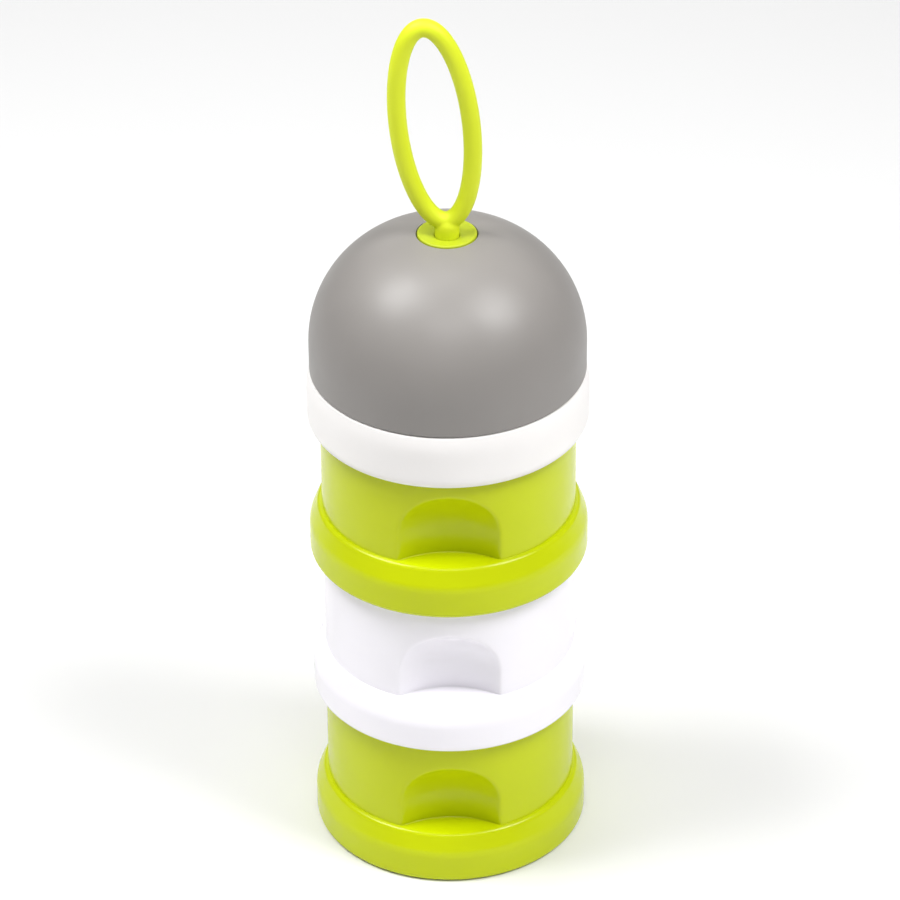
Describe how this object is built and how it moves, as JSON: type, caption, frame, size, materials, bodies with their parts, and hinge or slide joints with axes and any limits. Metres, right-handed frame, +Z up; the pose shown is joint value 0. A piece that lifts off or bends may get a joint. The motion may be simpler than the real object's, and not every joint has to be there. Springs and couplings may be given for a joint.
{
  "type": "formula dispenser",
  "caption": "Stack of round screw-together powder containers with thumb recesses, a spouted lid under a domed cap, and an upright silicone carry loop.",
  "frame": {"origin": "centre of the base ring's foot, on the surface it stands on", "axes": "+Z up along the stack's axis; -Y is the front, where the thumb recesses are; +X to the right"},
  "size_m": [0.08, 0.08, 0.261],
  "materials": {
    "lime_plastic": "moulded lime polypropylene, satin gloss",
    "white_plastic": "moulded white polypropylene, satin gloss",
    "white_satin": "white polypropylene, fine satin texture",
    "grey_satin": "warm grey, soft satin",
    "lime_silicone": "matte lime silicone",
    "clear_silicone": "milky silicone"
  },
  "bodies": {
    "base": {"container_bottom": "lime_plastic"},
    "lower_gasket": {"lower_seal": "clear_silicone"},
    "middle": {"container_middle": "white_plastic"},
    "upper_gasket": {"upper_seal": "clear_silicone"},
    "top": {"container_top": "lime_plastic"},
    "lid_gasket": {"lid_seal": "clear_silicone"},
    "lid": {"spout_lid": "white_satin"},
    "dome": {"dome_cap": "grey_satin", "loop_plug": "lime_silicone"},
    "loop": {"carry_loop": "lime_silicone"}
  },
  "joints": [
    {"name": "middle_lift", "type": "slide", "parent": "base", "child": "lower_gasket", "axis": [0, 0, 1], "range_m": [0, 0.0112]},
    {"name": "middle_unscrew", "type": "hinge", "parent": "lower_gasket", "child": "middle", "pos_m": [0, 0, 0.0466], "axis": [0, 0, 1], "range_deg": [0, 250]},
    {"name": "top_lift", "type": "slide", "parent": "middle", "child": "upper_gasket", "axis": [0, 0, 1], "range_m": [0, 0.0112]},
    {"name": "top_unscrew", "type": "hinge", "parent": "upper_gasket", "child": "top", "pos_m": [0, 0, 0.0932], "axis": [0, 0, 1], "range_deg": [0, 250]},
    {"name": "lid_lift", "type": "slide", "parent": "top", "child": "lid_gasket", "axis": [0, 0, 1], "range_m": [0, 0.0142]},
    {"name": "lid_unscrew", "type": "hinge", "parent": "lid_gasket", "child": "lid", "pos_m": [0, 0, 0.1398], "axis": [0, 0, 1], "range_deg": [0, 315]},
    {"name": "dome_pull", "type": "slide", "parent": "lid", "child": "dome", "axis": [0, 0, 1], "range_m": [0, 0.045]},
    {"name": "loop_swivel", "type": "hinge", "parent": "dome", "child": "loop", "pos_m": [0, 0, 0.1938], "axis": [0, 0, 1], "continuous": true}
  ],
  "couplings": [
    {"joint": "middle_lift", "follows": "middle_unscrew", "m_per_rad": 0.0025465},
    {"joint": "top_lift", "follows": "top_unscrew", "m_per_rad": 0.0025465},
    {"joint": "lid_lift", "follows": "lid_unscrew", "m_per_rad": 0.0025465}
  ]
}
